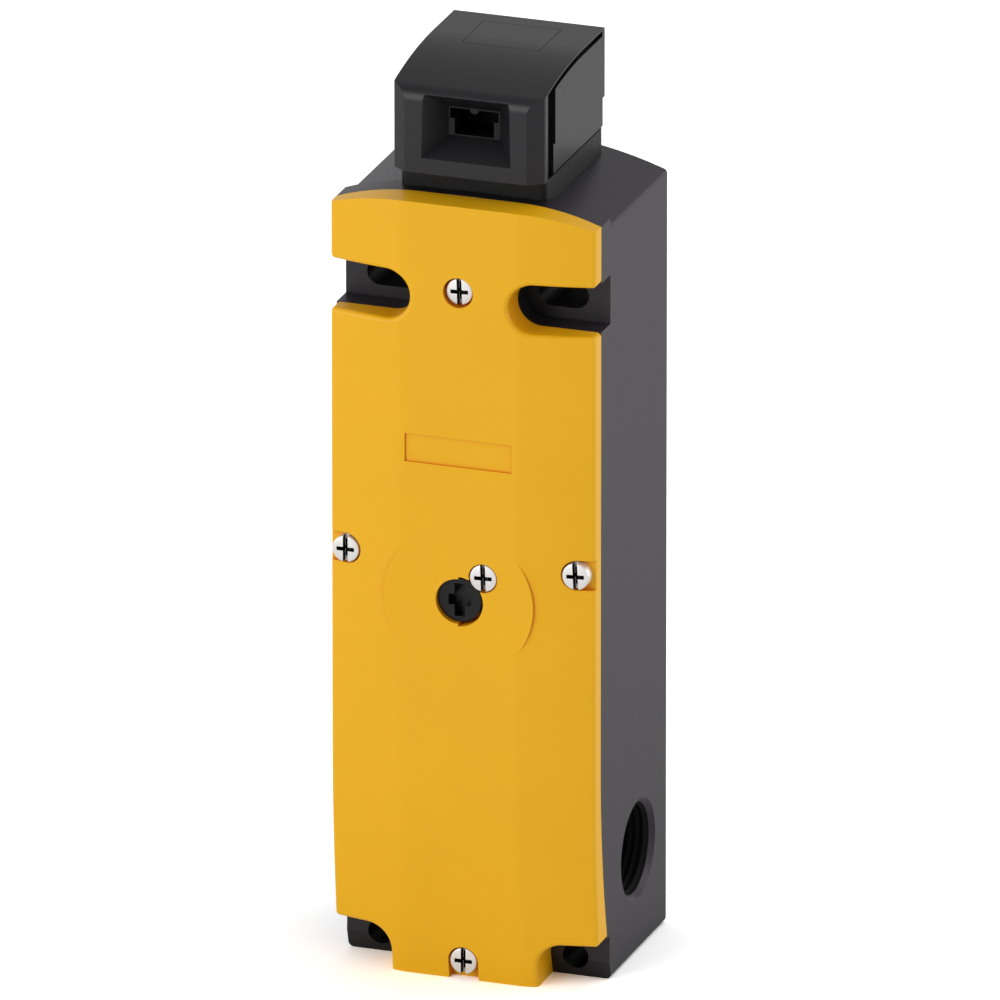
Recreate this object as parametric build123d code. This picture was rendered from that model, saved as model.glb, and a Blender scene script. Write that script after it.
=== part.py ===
from build123d import *
import math
import os

# Tongue interlock switch: a slim safety switch with a turnable actuating head on top, a front cover and a
# housing with three cable entries. Millimetres, +Z up, front towards -Y, origin under the middle of the base.
# A depth is always measured from the rear mounting face towards the front.

# Body
body_width = 54.0
housing_depth = 39.3
cover_depth = 6.3
arch_apex = 160.47
arch_radius = 80.0
side_wall = 3.0
rear_wall = 3.0
floor_wall = 3.0
roof_wall = 6.5
housing_edge_radius = 0.4
housing_foot_radius = 1.2
housing_shoulder_radius = 1.0

# Front cover
cover_apex = 160.3
cover_flat_half = 10.0
cover_arch_radius = 50.0
cover_wall = 2.2
cover_facet_start = 12.2
cover_crease_radius = 8.0
cover_facet_bend = 20.5
cover_facet_bend_drop = 1.33
cover_facet_radius = 80.0
cover_facet_drop = 2.9
cover_edge_radius = 0.9
cover_corner_radius = 0.9
cover_rear_reach = 8.0
cover_plateau_radius = 15.3
bend_height = 45.0
cover_bend_radius = 300.0
rim_bend_radius = 160.0
rim_band_depth = 5.3
plate_recess_width = 21.8
plate_recess_height = 5.8
plate_recess_centre = 109.9
plate_recess_depth = 0.35

# Gasket between housing and cover
gasket_land = 0.9
gasket_width = 1.0
gasket_thickness = 0.8
groove_play = 0.05
rim_block_margin = 10.0
rim_block_rear = 2.0

# Mounting points
recess_depth_plane = 33.9
recess_wall = 3.0
slot_height_centre = 140.7
slot_recess_radius = 5.0
slot_recess_centre_x = 15.0
slot_centre_x = 17.5
slot_length = 10.3
mount_hole_radius = 2.65
corner_hole_x = 20.0
corner_hole_z = 4.3
corner_recess_radius = 5.0

# Cable entries
entry_bore_radius = 9.2
entry_mouth_radius = 10.2
entry_thread_length = 8.0
entry_boss_wall = 3.0
entry_depth = 17.0
entry_height = 21.3

# Cover screws
screw_head_radius = 2.7
screw_head_height = 2.4
screw_shank_radius = 1.45
screw_grip = 6.5
screw_slot_width = 0.8
screw_slot_depth = 0.9
screw_hole_play = 0.35
screw_thread_play = 0.05
screw_tip_room = 1.0
screw_pocket_radius = 3.05
screw_boss_wall = 3.0
screw_boss_depth = 9.3
top_boss_radius = 3.7
screw_web = 2.4
cover_boss_overlap = 0.5
top_screw_z = 142.7
top_screw_sink = 0.8
side_screw_inset = 3.5
side_screw_z = 86.9
side_screw_face = 44.4
bottom_screw_z = 3.9
bottom_screw_face = 42.7

# Auxiliary release
release_z = 79.4
release_disc_radius = 4.4
release_disc_sink = 1.0
release_disc_thickness = 3.2
release_floor_play = 0.3
release_shaft_radius = 3.0
release_shaft_play = 0.08
release_cam_gap = 1.6
release_cam_thickness = 2.2
release_cam_radius = 4.0
release_cam_throw = 2.2
release_lobe_trim = 0.4
release_hole_left = 4.6
release_hole_right = 5.1
release_boss_wall = 3.0
release_boss_end = 37.5
release_key_width = 2.1
release_key_height = 6.7
release_key_bar_length = 4.6
release_key_bar_width = 2.2
release_key_depth = 2.4
release_seal_radius = 0.4
release_groove_width = 1.0
seal_screw_x = 5.05
seal_screw_rise = 5.3
seal_screw_radius = 2.75
seal_screw_sink = 0.1
seal_screw_grip = 5.0
seal_screw_play = 0.2
seal_screw_boss_wall = 0.8
seal_screw_seat = 1.0

# Head
head_axis_depth = 22.4
head_half_width = 15.4
head_depth = 37.2
head_height = 20.2
head_floor_z = 164.6
head_turn_gap = 0.3
head_crown_flat = 12.2
head_crown_radius = 95.0
head_nose_radius = 3.0
head_corner_x = 2.9
head_corner_y = 2.2
head_corner_radius = 0.6
hood_wall = 1.8
hood_front_wall = 5.0
hood_skirt_rise = 6.1
hood_step = 0.4
groove_setback = 3.8
groove_width = 4.4
groove_cut = 1.3
crown_lip = 0.3
crown_groove_height = 1.1
crown_groove_stop = 1.4
funnel_bottom_half = 9.1
funnel_top_half = 8.8
funnel_bottom_rise = 3.1
funnel_height = 13.2
slot_upper_half = 4.95
slot_lower_half = 4.0
slot_lower_rise = 7.0
slot_lower_height = 3.2
slot_upper_height = 2.1
slot_hump_radius = 0.9
throat_margin = 0.25
slot_plate_thickness = 2.0
slot_plate_margin = 3.2
slot_plate_play = 0.02
throat_end_reach = 4.0
cap_half_width = 7.9
cap_setback = 4.2
cap_length = 12.5
cap_thickness = 1.1
cap_play = 0.1

# Head base, hub and retaining ring
base_half_width = 15.0
base_rear_reach = 19.1
base_front_reach = 14.2
base_corner_radius = 1.5
spigot_radius = 12.4
spigot_bottom = 151.5
spigot_play = 0.1
hub_radius = 8.0
hub_play = 0.2
hub_bottom = 149.2
ring_radius = 10.5
ring_thickness = 1.0
ring_groove_depth = 0.8
ring_gap = 3.2
seal_ring_radius = 0.55
seal_ring_z = 158.0
seal_groove_play = 0.1

# Rotor and locking pin
rotor_axis_rise = 8.7
rotor_rest_radius = 6.0
rotor_rim_radius = 9.0
rotor_half_width = 4.6
rotor_turn = 55.0
rotor_side_play = 0.4
rotor_rim_play = 0.4
relief_start = -38.0
relief_overrun = 12.0
relief_steps = 12
relief_reach = 3.0
mouth_depth = 4.6
mouth_margin = 0.6
axle_radius = 2.0
axle_play = 0.05
prong_radius = 1.0
prong_gap = 0.3
prong_length = 3.0
prong_inner = 2.2
prong_outer = 4.0
lock_hole_radius = 1.9
lock_hole_floor = 4.7
lock_pin_radius = 1.5
lock_travel = 4.6
lock_rest_gap = 0.6

# Push train
sleeve_radius = 4.4
sleeve_bore_radius = 1.85
sleeve_guide_play = 0.2
fork_bottom = 156.0
arm_thickness = 4.0
arm_half_depth = 3.0
arm_recess_gap = 0.4
slider_yoke_gap = 2.5
slider_width = 3.0
slider_foot_drop = 1.5

# Solenoid
yoke_bottom = 88.0
yoke_height = 34.0
yoke_half_width = 15.0
yoke_depth_size = 16.0
yoke_plate = 2.5
bobbin_flange = 1.4
bobbin_radius = 11.5
bobbin_tube_radius = 6.0
bobbin_bore_radius = 5.0
winding_radius = 11.0
armature_radius = 4.7
armature_rest_gap = 0.3
armature_end_gap = 0.4
pole_length = 7.5
rod_radius = 2.0
rod_play = 0.4
yoke_tab_length = 5.2
yoke_tab_half = 3.0
yoke_screw_reach = 3.0
yoke_screw_inset = 6.0
yoke_screw_grip = 7.0
post_wall = 1.8

# Lock collar
collar_radius = 4.6
collar_thickness = 4.0
collar_drop = 8.0
collar_arm_half = 2.5

# Contact blocks
block_side_gap = 2.2
block_middle_gap = 0.4
block_bottom = 36.0
block_top = 66.0
block_back = 8.0
block_front = 31.0
block_step = 3.0
block_step_height = 10.0
chamber_half_width = 7.5
chamber_half_depth = 3.3
chamber_bottom = 42.5
chamber_top = 60.0
plunger_radius = 2.2
plunger_play = 0.3
plunger_end = 46.0
bridge_z = 50.5
bridge_half_width = 6.5
bridge_half_depth = 2.4
bridge_thickness = 1.0
bridge_overhang = 0.4
terminal_offset_x = 5.4
terminal_inset_z = 4.5
terminal_head_radius = 2.5
terminal_head_height = 1.6
terminal_shank_radius = 1.5
terminal_shank_length = 6.0
terminal_tip_room = 0.5
block_tab_height = 5.8
block_tab_thickness = 2.5
block_tab_half = 4.0
block_screw_radius = 1.4
block_screw_play = 0.2
block_screw_grip = 6.0

# Springs
push_spring_radius = 3.3
push_spring_wire = 0.7
push_spring_turns = 3.5
lock_spring_radius = 3.3
lock_spring_wire = 0.6
lock_spring_turns = 4.5

# Earth terminal
earth_z = 19.0
earth_half_width = 5.5
earth_half_height = 5.0
earth_plate = 1.2
earth_boss_radius = 3.6
earth_boss_length = 1.0
earth_screw_radius = 2.6
earth_screw_grip = 3.0

# How far a cut runs past a face, and joined forms run into each other
overrun = 1.0
bend_overturn = 1.0

# Worked out from the sizes above
overall_depth = housing_depth + cover_depth
half_width = body_width / 2
block_half_width = (half_width - side_wall - block_side_gap - block_middle_gap / 2) / 2
block_centre_x = block_middle_gap / 2 + block_half_width
slider_inner_x = yoke_half_width + slider_yoke_gap
release_cam_depth = head_axis_depth + collar_radius + release_cam_gap
release_shaft_end = release_cam_depth + release_cam_thickness
rotor_axis_z = head_floor_z + rotor_axis_rise
travel = rotor_rim_radius - rotor_rest_radius
slot_block_bottom = slot_height_centre - slot_recess_radius - recess_wall
arm_top = slot_block_bottom - arm_recess_gap
arm_bottom = arm_top - arm_thickness
yoke_top = yoke_bottom + yoke_height
pole_bottom = yoke_top - yoke_plate - pole_length
armature_bottom = yoke_bottom + yoke_plate + armature_rest_gap
armature_top = pole_bottom - lock_travel - armature_end_gap
collar_top = yoke_bottom - collar_drop
collar_bottom = collar_top - collar_thickness
slider_foot_bottom = collar_bottom - slider_foot_drop
slider_foot_top = slider_foot_bottom + arm_thickness
head_rear_depth = head_axis_depth - head_depth / 2
head_front_depth = head_axis_depth + head_depth / 2
head_top = head_floor_z + head_height
hood_face_depth = head_front_depth - hood_front_wall
throat_low = head_floor_z + slot_lower_rise - throat_margin
throat_high = throat_low + slot_lower_height + slot_upper_height + 2 * throat_margin
throat_half = slot_upper_half + throat_margin


def y_at(depth):
    return overall_depth / 2 - depth


def slab(sketch, depth_from, depth_to):
    plane = Plane.XZ.offset(-y_at(depth_from))
    return extrude(plane * sketch, amount=depth_to - depth_from)


def block(x_from, x_to, depth_from, depth_to, z_from, z_to):
    size = Box(x_to - x_from, depth_to - depth_from, z_to - z_from)
    centre = ((x_from + x_to) / 2, y_at((depth_from + depth_to) / 2), (z_from + z_to) / 2)
    return Pos(*centre) * size


def rod_x(depth, z, radius, x_from, x_to):
    plane = Plane.YZ.offset(x_from)
    return extrude(plane * (Pos(y_at(depth), z) * Circle(radius)), amount=x_to - x_from)


def rod_y(x, z, radius, depth_from, depth_to):
    return slab(Pos(x, z) * Circle(radius), depth_from, depth_to)


def rod_z(x, depth, radius, z_from, z_to):
    plane = Plane.XY.offset(z_from)
    return extrude(plane * (Pos(x, y_at(depth)) * Circle(radius)), amount=z_to - z_from)


def rectangle(x_from, x_to, z_from, z_to):
    return Pos((x_from + x_to) / 2, (z_from + z_to) / 2) * Rectangle(x_to - x_from, z_to - z_from)


def both_sides(shape):
    return shape + mirror(shape, about=Plane.YZ)


def arched_face(half, flat_half, bottom, apex, radius):
    # An upright rectangle whose top is a flat middle with a tangent arc to each side.
    reach = half - flat_half
    shoulder = apex - radius + math.sqrt(radius ** 2 - reach ** 2)
    middle = math.asin(reach / radius) / 2
    middle_x = flat_half + radius * math.sin(middle)
    middle_z = apex - radius + radius * math.cos(middle)
    edges = Polyline((-half, shoulder), (-half, bottom), (half, bottom), (half, shoulder))
    edges += ThreePointArc((half, shoulder), (middle_x, middle_z), (flat_half, apex))
    edges += ThreePointArc((-flat_half, apex), (-middle_x, middle_z), (-half, shoulder))
    if flat_half > 0:
        edges += Line((flat_half, apex), (-flat_half, apex))
    return make_face(edges)


def bent_block(section, front_y, radius):
    # A section in plan carried straight up above the bend height, and back along an arc below it.
    plane = Plane.XY.offset(bend_height)
    straight = extrude(plane * section, amount=arch_apex)
    centre = Axis((0, front_y + radius, bend_height), (1, 0, 0))
    rear_radius = radius - section.bounding_box().size.Y
    lean = math.degrees(math.asin(bend_height / rear_radius)) + bend_overturn
    return straight + revolve(plane * section, axis=centre, revolution_arc=lean)


def rim_block(depth):
    # Everything behind the parting surface, moved to another depth for the gasket's groove.
    front_y = y_at(depth)
    rear_y = y_at(-rim_block_rear)
    width = body_width + 2 * rim_block_margin
    section = Pos(0, (front_y + rear_y) / 2) * Rectangle(width, rear_y - front_y)
    return bent_block(section, front_y, rim_bend_radius - housing_depth + depth)


def cover_form(inset):
    # The cover's front: a flat middle with a bowed facet to each side; inset gives its inner face.
    front_y = y_at(overall_depth - inset)
    bend_y = front_y + cover_facet_bend_drop
    side_y = front_y + cover_facet_drop
    rear_y = y_at(recess_depth_plane - cover_rear_reach)
    outline = Polyline(
        (-half_width, rear_y),
        (-half_width, side_y),
        (-cover_facet_bend, bend_y),
        (-cover_facet_start, front_y),
        (cover_facet_start, front_y),
        (cover_facet_bend, bend_y),
        (half_width, side_y),
        (half_width, rear_y),
        close=True,
    )
    section = make_face(outline)
    for x, y, radius in (
        (cover_facet_start, front_y, cover_crease_radius),
        (cover_facet_bend, bend_y, cover_facet_radius),
        (half_width, side_y, cover_edge_radius),
    ):
        corners = [v for v in section.vertices() if abs(abs(v.X) - x) + abs(v.Y - y) < 0.01]
        section = fillet(corners, radius)
    return bent_block(section, front_y, cover_bend_radius - inset)


def slot_recess():
    reach = half_width + overrun - slot_recess_centre_x
    middle = slot_recess_centre_x + reach / 2
    bar = Pos(middle, slot_height_centre) * Rectangle(reach, 2 * slot_recess_radius)
    return bar + Pos(slot_recess_centre_x, slot_height_centre) * Circle(slot_recess_radius)


def corner_recess():
    round_end = Pos(corner_hole_x, corner_hole_z) * Circle(corner_recess_radius)
    outside = rectangle(corner_hole_x, half_width + overrun, -overrun, corner_hole_z + corner_recess_radius)
    below = rectangle(corner_hole_x - corner_recess_radius, half_width + overrun, -overrun, corner_hole_z)
    return round_end + outside + below


def screw_places():
    # Each cover screw with the depth of its head's face.
    side_x = half_width - side_screw_inset
    return [
        (0, top_screw_z, overall_depth - top_screw_sink),
        (side_x, side_screw_z, side_screw_face),
        (-side_x, side_screw_z, side_screw_face),
        (0, bottom_screw_z, bottom_screw_face),
    ]


def cavity_face():
    inner_half = half_width - side_wall
    inner = arched_face(inner_half, 0, floor_wall, arch_apex - roof_wall, arch_radius - roof_wall)
    columns = offset(slot_recess(), recess_wall) + offset(corner_recess(), recess_wall)
    return inner - both_sides(columns)


def rim_bosses():
    # Bosses under the cover screws that stand at the rim, so the gasket passes on their inner side.
    boss_radius = screw_pocket_radius + screw_boss_wall
    bosses = Sketch()
    for x, z, face in screw_places()[1:]:
        bosses += Pos(x, z) * Circle(boss_radius)
    return bosses


def rim_opening():
    return cavity_face() - rim_bosses()


def gasket_band(play):
    inner = offset(rim_opening(), gasket_land - play)
    outer = offset(rim_opening(), gasket_land + gasket_width + play)
    band = slab(outer - inner, screw_boss_depth, overall_depth)
    return band & (rim_block(housing_depth) - rim_block(housing_depth - gasket_thickness))


def make_housing():
    face = arched_face(half_width, 0, 0, arch_apex, arch_radius)
    corners = face.vertices().sort_by(Axis.Y)
    face = fillet(corners[:2], housing_foot_radius)
    shoulders = [v for v in face.vertices().sort_by(Axis.Y)[-3:] if abs(v.X) > half_width / 2]
    face = fillet(shoulders, housing_shoulder_radius)
    body = slab(face, 0, housing_depth)
    rear_edges = body.edges().filter_by(Axis.Z).group_by(Axis.Y)[-1]
    body = fillet(rear_edges, housing_edge_radius)
    band = slab(
        arched_face(half_width, cover_flat_half, 0, cover_apex, cover_arch_radius),
        housing_depth - rim_band_depth,
        housing_depth,
    )
    outside = (body + band) & rim_block(housing_depth)
    shell = outside - slab(cavity_face(), rear_wall, overall_depth)
    boss_start = housing_depth - screw_boss_depth
    bosses = slab(rim_bosses(), boss_start, housing_depth)
    bosses += rod_y(0, top_screw_z, top_boss_radius, boss_start, housing_depth)
    neck_half = slot_recess_centre_x - slot_recess_radius
    web = rectangle(-neck_half, neck_half, top_screw_z - screw_web / 2, top_screw_z + screw_web / 2)
    bosses += slab(web, boss_start, housing_depth)
    shell += bosses & outside

    boss_radius = entry_bore_radius + entry_boss_wall
    side_boss = rod_x(entry_depth, entry_height, boss_radius, half_width - entry_thread_length, half_width)
    shell += both_sides(side_boss)
    shell += rod_z(0, entry_depth, boss_radius, 0, entry_thread_length)
    for x in (-block_centre_x, block_centre_x):
        for z in block_screw_heights():
            shell += rod_y(x, z, block_screw_radius + post_wall, rear_wall, block_back)
    shell += rod_y(0, earth_z, earth_boss_radius, rear_wall, rear_wall + earth_boss_length)
    for z in yoke_screw_heights():
        for x in yoke_screw_sides():
            shell += rod_y(x, z, block_screw_radius + post_wall, rear_wall, yoke_rear_depth())

    cuts = both_sides(slab(slot_recess() + corner_recess(), recess_depth_plane, overall_depth))
    cuts += both_sides(entry_bore_x())
    cuts += entry_bore_z()
    slot = Pos(slot_centre_x, slot_height_centre) * SlotOverall(slot_length, 2 * mount_hole_radius)
    cuts += both_sides(slab(slot, -overrun, overall_depth))
    cuts += both_sides(rod_y(corner_hole_x, corner_hole_z, mount_hole_radius, -overrun, overall_depth))
    for x, z, face in screw_places():
        tip = face - screw_head_height - screw_grip - screw_tip_room
        cuts += rod_y(x, z, screw_shank_radius + screw_thread_play, tip, overall_depth)
    bore = spigot_radius + spigot_play
    cuts += rod_z(0, head_axis_depth, bore, spigot_bottom - roof_wall, arch_apex + overrun)
    for x in (-block_centre_x, block_centre_x):
        for z in block_screw_heights():
            cuts += rod_y(x, z, block_screw_radius, rear_wall - screw_tip_room, block_back + overrun)
    for z in yoke_screw_heights():
        for x in yoke_screw_sides():
            cuts += rod_y(x, z, block_screw_radius, rear_wall - screw_tip_room, yoke_rear_depth() + overrun)
    earth_end = rear_wall + earth_boss_length + overrun
    cuts += rod_y(0, earth_z, block_screw_radius, rear_wall - screw_tip_room, earth_end)
    return shell - cuts - gasket_band(groove_play)


def entry_bore_x():
    inner_end = half_width - entry_thread_length - overrun
    bore = rod_x(entry_depth, entry_height, entry_bore_radius, inner_end, half_width + overrun)
    mouth_length = entry_mouth_radius - entry_bore_radius
    mouth = Cone(entry_mouth_radius, entry_bore_radius, mouth_length)
    place = Pos(half_width - mouth_length / 2, y_at(entry_depth), entry_height)
    return bore + place * Rot(0, -90, 0) * mouth


def entry_bore_z():
    bore = rod_z(0, entry_depth, entry_bore_radius, -overrun, entry_thread_length + overrun)
    mouth_length = entry_mouth_radius - entry_bore_radius
    mouth = Cone(entry_mouth_radius, entry_bore_radius, mouth_length)
    return bore + Pos(0, y_at(entry_depth), mouth_length / 2) * mouth


def cover_corners(solid):
    # The upright corners where the side recesses meet the cover's sides.
    found = []
    for z in (
        corner_hole_z + corner_recess_radius,
        slot_height_centre - slot_recess_radius,
        slot_height_centre + slot_recess_radius,
    ):
        for edge in solid.edges().filter_by(Axis.Y):
            centre = edge.center()
            if abs(abs(centre.X) - half_width) + abs(centre.Z - z) < 0.05:
                found.append(edge)
    return found


def make_cover():
    low = recess_depth_plane - cover_rear_reach
    high = overall_depth + overrun
    outline = arched_face(half_width + overrun, cover_flat_half, 0, cover_apex, cover_arch_radius)
    outside = cover_form(0) & slab(outline, low, high)
    outside += rod_y(0, release_z, cover_plateau_radius, housing_depth, overall_depth)
    outside -= slab(both_sides(slot_recess() + corner_recess()), low - overrun, high + overrun)
    outside = fillet(cover_corners(outside), cover_corner_radius)
    cover = outside - rim_block(housing_depth)
    cover -= slab(rim_opening(), low, high) & cover_form(cover_wall)
    return cover + cover_bosses() - cover_openings()


def cover_bosses():
    # Stand-off under the top screw and the bearing boss for the release shaft.
    inner_face = overall_depth - cover_wall + cover_boss_overlap
    solid = rod_y(0, top_screw_z, top_boss_radius, housing_depth, inner_face)
    boss_radius = release_shaft_radius + release_boss_wall
    solid += rod_y(0, release_z, boss_radius, release_boss_end, inner_face)
    seal_z = release_z + seal_screw_rise
    boss_radius = seal_screw_radius + seal_screw_boss_wall
    return solid + rod_y(seal_screw_x, seal_z, boss_radius, housing_depth - seal_screw_seat, inner_face)


def cover_openings():
    cuts = Part()
    for x, z, face in screw_places():
        cuts += rod_y(x, z, screw_pocket_radius, face - screw_head_height, overall_depth + overrun)
        cuts += rod_y(x, z, screw_shank_radius + screw_hole_play, 0, overall_depth + overrun)
    side_x = half_width - side_screw_inset
    low = side_screw_z - screw_pocket_radius
    high = side_screw_z + screw_pocket_radius
    seat = side_screw_face - screw_head_height
    notch = slab(rectangle(side_x, half_width + overrun, low, high), seat, overall_depth)
    cuts += both_sides(notch)
    foot = rectangle(-screw_pocket_radius, screw_pocket_radius, -overrun, bottom_screw_z)
    cuts += slab(foot, bottom_screw_face - screw_head_height, overall_depth)

    floor_depth = floor_of_disc() - release_floor_play
    hole = Pos(0, release_z) * Circle(release_hole_left)
    reach = release_hole_right
    wide = Pos(0, release_z) * Circle(reach)
    hole += wide & rectangle(0, reach, release_z - reach, release_z + reach)
    cuts += slab(hole, floor_depth, overall_depth + overrun)
    cuts += rod_y(0, release_z, release_shaft_radius + release_shaft_play, 0, overall_depth)
    seal_z = release_z + seal_screw_rise
    seal_floor = overall_depth - seal_screw_sink - screw_head_height
    bore = seal_screw_radius + seal_screw_play
    cuts += rod_y(seal_screw_x, seal_z, bore, seal_floor, overall_depth + overrun)
    cuts += rod_y(seal_screw_x, seal_z, screw_shank_radius, 0, overall_depth)
    bar = Pos(0, plate_recess_centre) * Rectangle(plate_recess_width, plate_recess_height)
    cuts += slab(bar, overall_depth - plate_recess_depth, overall_depth + overrun)
    return cuts


def slotted_screw(x, z, face, head_radius, head_height, shank_radius, grip):
    under = face - head_height
    screw = rod_y(x, z, head_radius, under, face) + rod_y(x, z, shank_radius, under - grip, under)
    groove = Pos(x, z) * Rectangle(screw_slot_width, 2 * head_radius + overrun)
    return screw - slab(groove, face - screw_slot_depth, face + overrun)


def make_cover_screws():
    screws = []
    for x, z, face in screw_places():
        sizes = (screw_head_radius, screw_head_height, screw_shank_radius, screw_grip)
        screws.append(slotted_screw(x, z, face, *sizes))
    return screws


def make_sealing_screw():
    face = overall_depth - seal_screw_sink
    z = release_z + seal_screw_rise
    sizes = (seal_screw_radius, screw_head_height, screw_shank_radius, seal_screw_grip)
    return slotted_screw(seal_screw_x, z, face, *sizes)


def yoke_rear_depth():
    return head_axis_depth - yoke_depth_size / 2


def yoke_screw_heights():
    return (yoke_bottom + yoke_screw_inset, yoke_top - yoke_screw_inset)


def yoke_screw_sides():
    return (-yoke_half_width - yoke_screw_reach, yoke_half_width + yoke_screw_reach)


def block_screw_heights():
    return (block_bottom - block_tab_height / 2, block_top + block_tab_height / 2)


def make_head_base():
    plinth = block(
        -base_half_width,
        base_half_width,
        head_axis_depth - base_rear_reach,
        head_axis_depth + base_front_reach,
        arch_apex - roof_wall,
        head_floor_z - head_turn_gap,
    )
    uprights = plinth.edges().filter_by(Axis.Z)
    plinth = fillet(uprights, base_corner_radius)
    plinth -= slab(arched_face(half_width, 0, 0, arch_apex, arch_radius), -overrun, overall_depth)
    plinth -= slab(
        arched_face(half_width, cover_flat_half, 0, cover_apex, cover_arch_radius),
        housing_depth - rim_band_depth,
        overall_depth,
    )
    spigot = rod_z(0, head_axis_depth, spigot_radius, spigot_bottom, head_floor_z - head_turn_gap - overrun)
    bore = rod_z(0, head_axis_depth, hub_radius + hub_play, spigot_bottom - overrun, head_floor_z + overrun)
    return plinth + spigot - bore


def head_profile():
    # Side view of the head: flat crown, falling arc to a rounded nose, upright face.
    rear_y = y_at(head_rear_depth)
    front_y = y_at(head_front_depth)
    flat_y = y_at(head_rear_depth + head_crown_flat)
    fall = flat_y - front_y
    nose_z = head_top - head_crown_radius + math.sqrt(head_crown_radius ** 2 - fall ** 2)
    middle = math.asin(fall / head_crown_radius) / 2
    middle_y = flat_y - head_crown_radius * math.sin(middle)
    middle_z = head_top - head_crown_radius + head_crown_radius * math.cos(middle)
    edges = Polyline(
        (flat_y, head_top),
        (rear_y, head_top),
        (rear_y, head_floor_z),
        (front_y, head_floor_z),
        (front_y, nose_z),
    )
    edges += ThreePointArc((front_y, nose_z), (middle_y, middle_z), (flat_y, head_top))
    profile = make_face(edges)
    nose = [v for v in profile.vertices() if abs(v.Y - nose_z) < 0.01]
    return fillet(nose, head_nose_radius)


def head_crown(half):
    return extrude(Plane.YZ.offset(-half) * head_profile(), amount=2 * half)


def head_outside():
    # The crown's side profile met by the plan, whose front corners are cut off and softened.
    front_y = y_at(head_front_depth)
    rear_y = y_at(head_rear_depth)
    nose_half = head_half_width - head_corner_x
    cheek_y = front_y + head_corner_y
    outline = Polyline(
        (-head_half_width, rear_y),
        (-head_half_width, cheek_y),
        (-nose_half, front_y),
        (nose_half, front_y),
        (head_half_width, cheek_y),
        (head_half_width, rear_y),
        close=True,
    )
    plan = make_face(outline)
    corners = [v for v in plan.vertices() if v.Y < cheek_y + 0.01]
    plan = fillet(corners, head_corner_radius)
    upright = extrude(Plane.XY.offset(head_floor_z) * plan, amount=head_height)
    return head_crown(head_half_width) & upright


def side_grooves():
    # A shallow channel up each side behind the face, which turns back along the edge of the crown.
    front = head_front_depth - groove_setback
    inner_x = head_half_width - groove_cut
    low = head_floor_z - overrun
    channel = block(inner_x, head_half_width + overrun, front - groove_width, front, low, head_top)
    rear = head_rear_depth + crown_groove_stop
    side = block(inner_x, head_half_width + overrun, rear, front, low, head_top)
    channel += side - lowered_crown(crown_lip + crown_groove_height)
    return both_sides(channel & lowered_crown(crown_lip))


def lowered_crown(drop):
    return Pos(0, 0, -drop) * head_crown(head_half_width + overrun)


def core_sizes():
    # The inner block of the head, which the hood fits over.
    half = head_half_width - hood_wall
    rear = head_rear_depth + hood_wall
    return half, rear, hood_face_depth


def make_head_hood():
    skirt_z = head_floor_z + hood_skirt_rise
    hood = head_outside() - side_grooves()
    hood -= block(-half_width, half_width, 0, hood_face_depth, head_floor_z - overrun, skirt_z)
    return hood - core_block(head_top - hood_wall) - funnel() - cap_form(cap_play)


def core_block(roof_z):
    half, rear, front = core_sizes()
    solid = block(-half, half, rear, front, head_floor_z - overrun, roof_z)
    below = block(-half, half, rear, front, head_floor_z - overrun, head_floor_z + hood_skirt_rise)
    return (solid & lowered_crown(hood_wall)) + below


def funnel():
    # The opening narrows from the face to the throat in front of the keyed slot.
    low = head_floor_z + funnel_bottom_rise
    high = low + funnel_height
    outline = Polyline(
        (-funnel_bottom_half, low),
        (funnel_bottom_half, low),
        (funnel_top_half, high),
        (-funnel_top_half, high),
        close=True,
    )
    mouth = make_face(outline)
    throat = rectangle(-throat_half, throat_half, throat_low, throat_high)
    wide_plane = Plane.XZ.offset(-y_at(head_front_depth))
    deep_plane = Plane.XZ.offset(-y_at(hood_face_depth))
    taper = loft([deep_plane * throat, wide_plane * mouth])
    return taper + slab(mouth, head_front_depth, head_front_depth + overrun)


def cap_form(play):
    rear = head_rear_depth + cap_setback
    half = cap_half_width + play
    region = block(-half, half, rear - play, rear + cap_length + play, rotor_axis_z, head_top + overrun)
    return (region & head_crown(head_half_width)) - lowered_crown(cap_thickness)


def keyed_slot():
    low = head_floor_z + slot_lower_rise
    step = low + slot_lower_height
    high = step + slot_upper_height
    shape = rectangle(-slot_lower_half, slot_lower_half, low, high)
    shape += rectangle(-slot_upper_half, slot_upper_half, step, high)
    return shape - Pos(0, high) * Circle(slot_hump_radius)


def slot_plate_face(play):
    low = head_floor_z + slot_lower_rise - slot_plate_margin - play
    high = low + slot_lower_height + slot_upper_height + 2 * slot_plate_margin + 2 * play
    half = slot_upper_half + slot_plate_margin + play
    return rectangle(-half, half, low, high)


def make_slot_plate():
    rear = hood_face_depth - slot_plate_thickness
    return slab(slot_plate_face(0) - keyed_slot(), rear, hood_face_depth)


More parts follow.
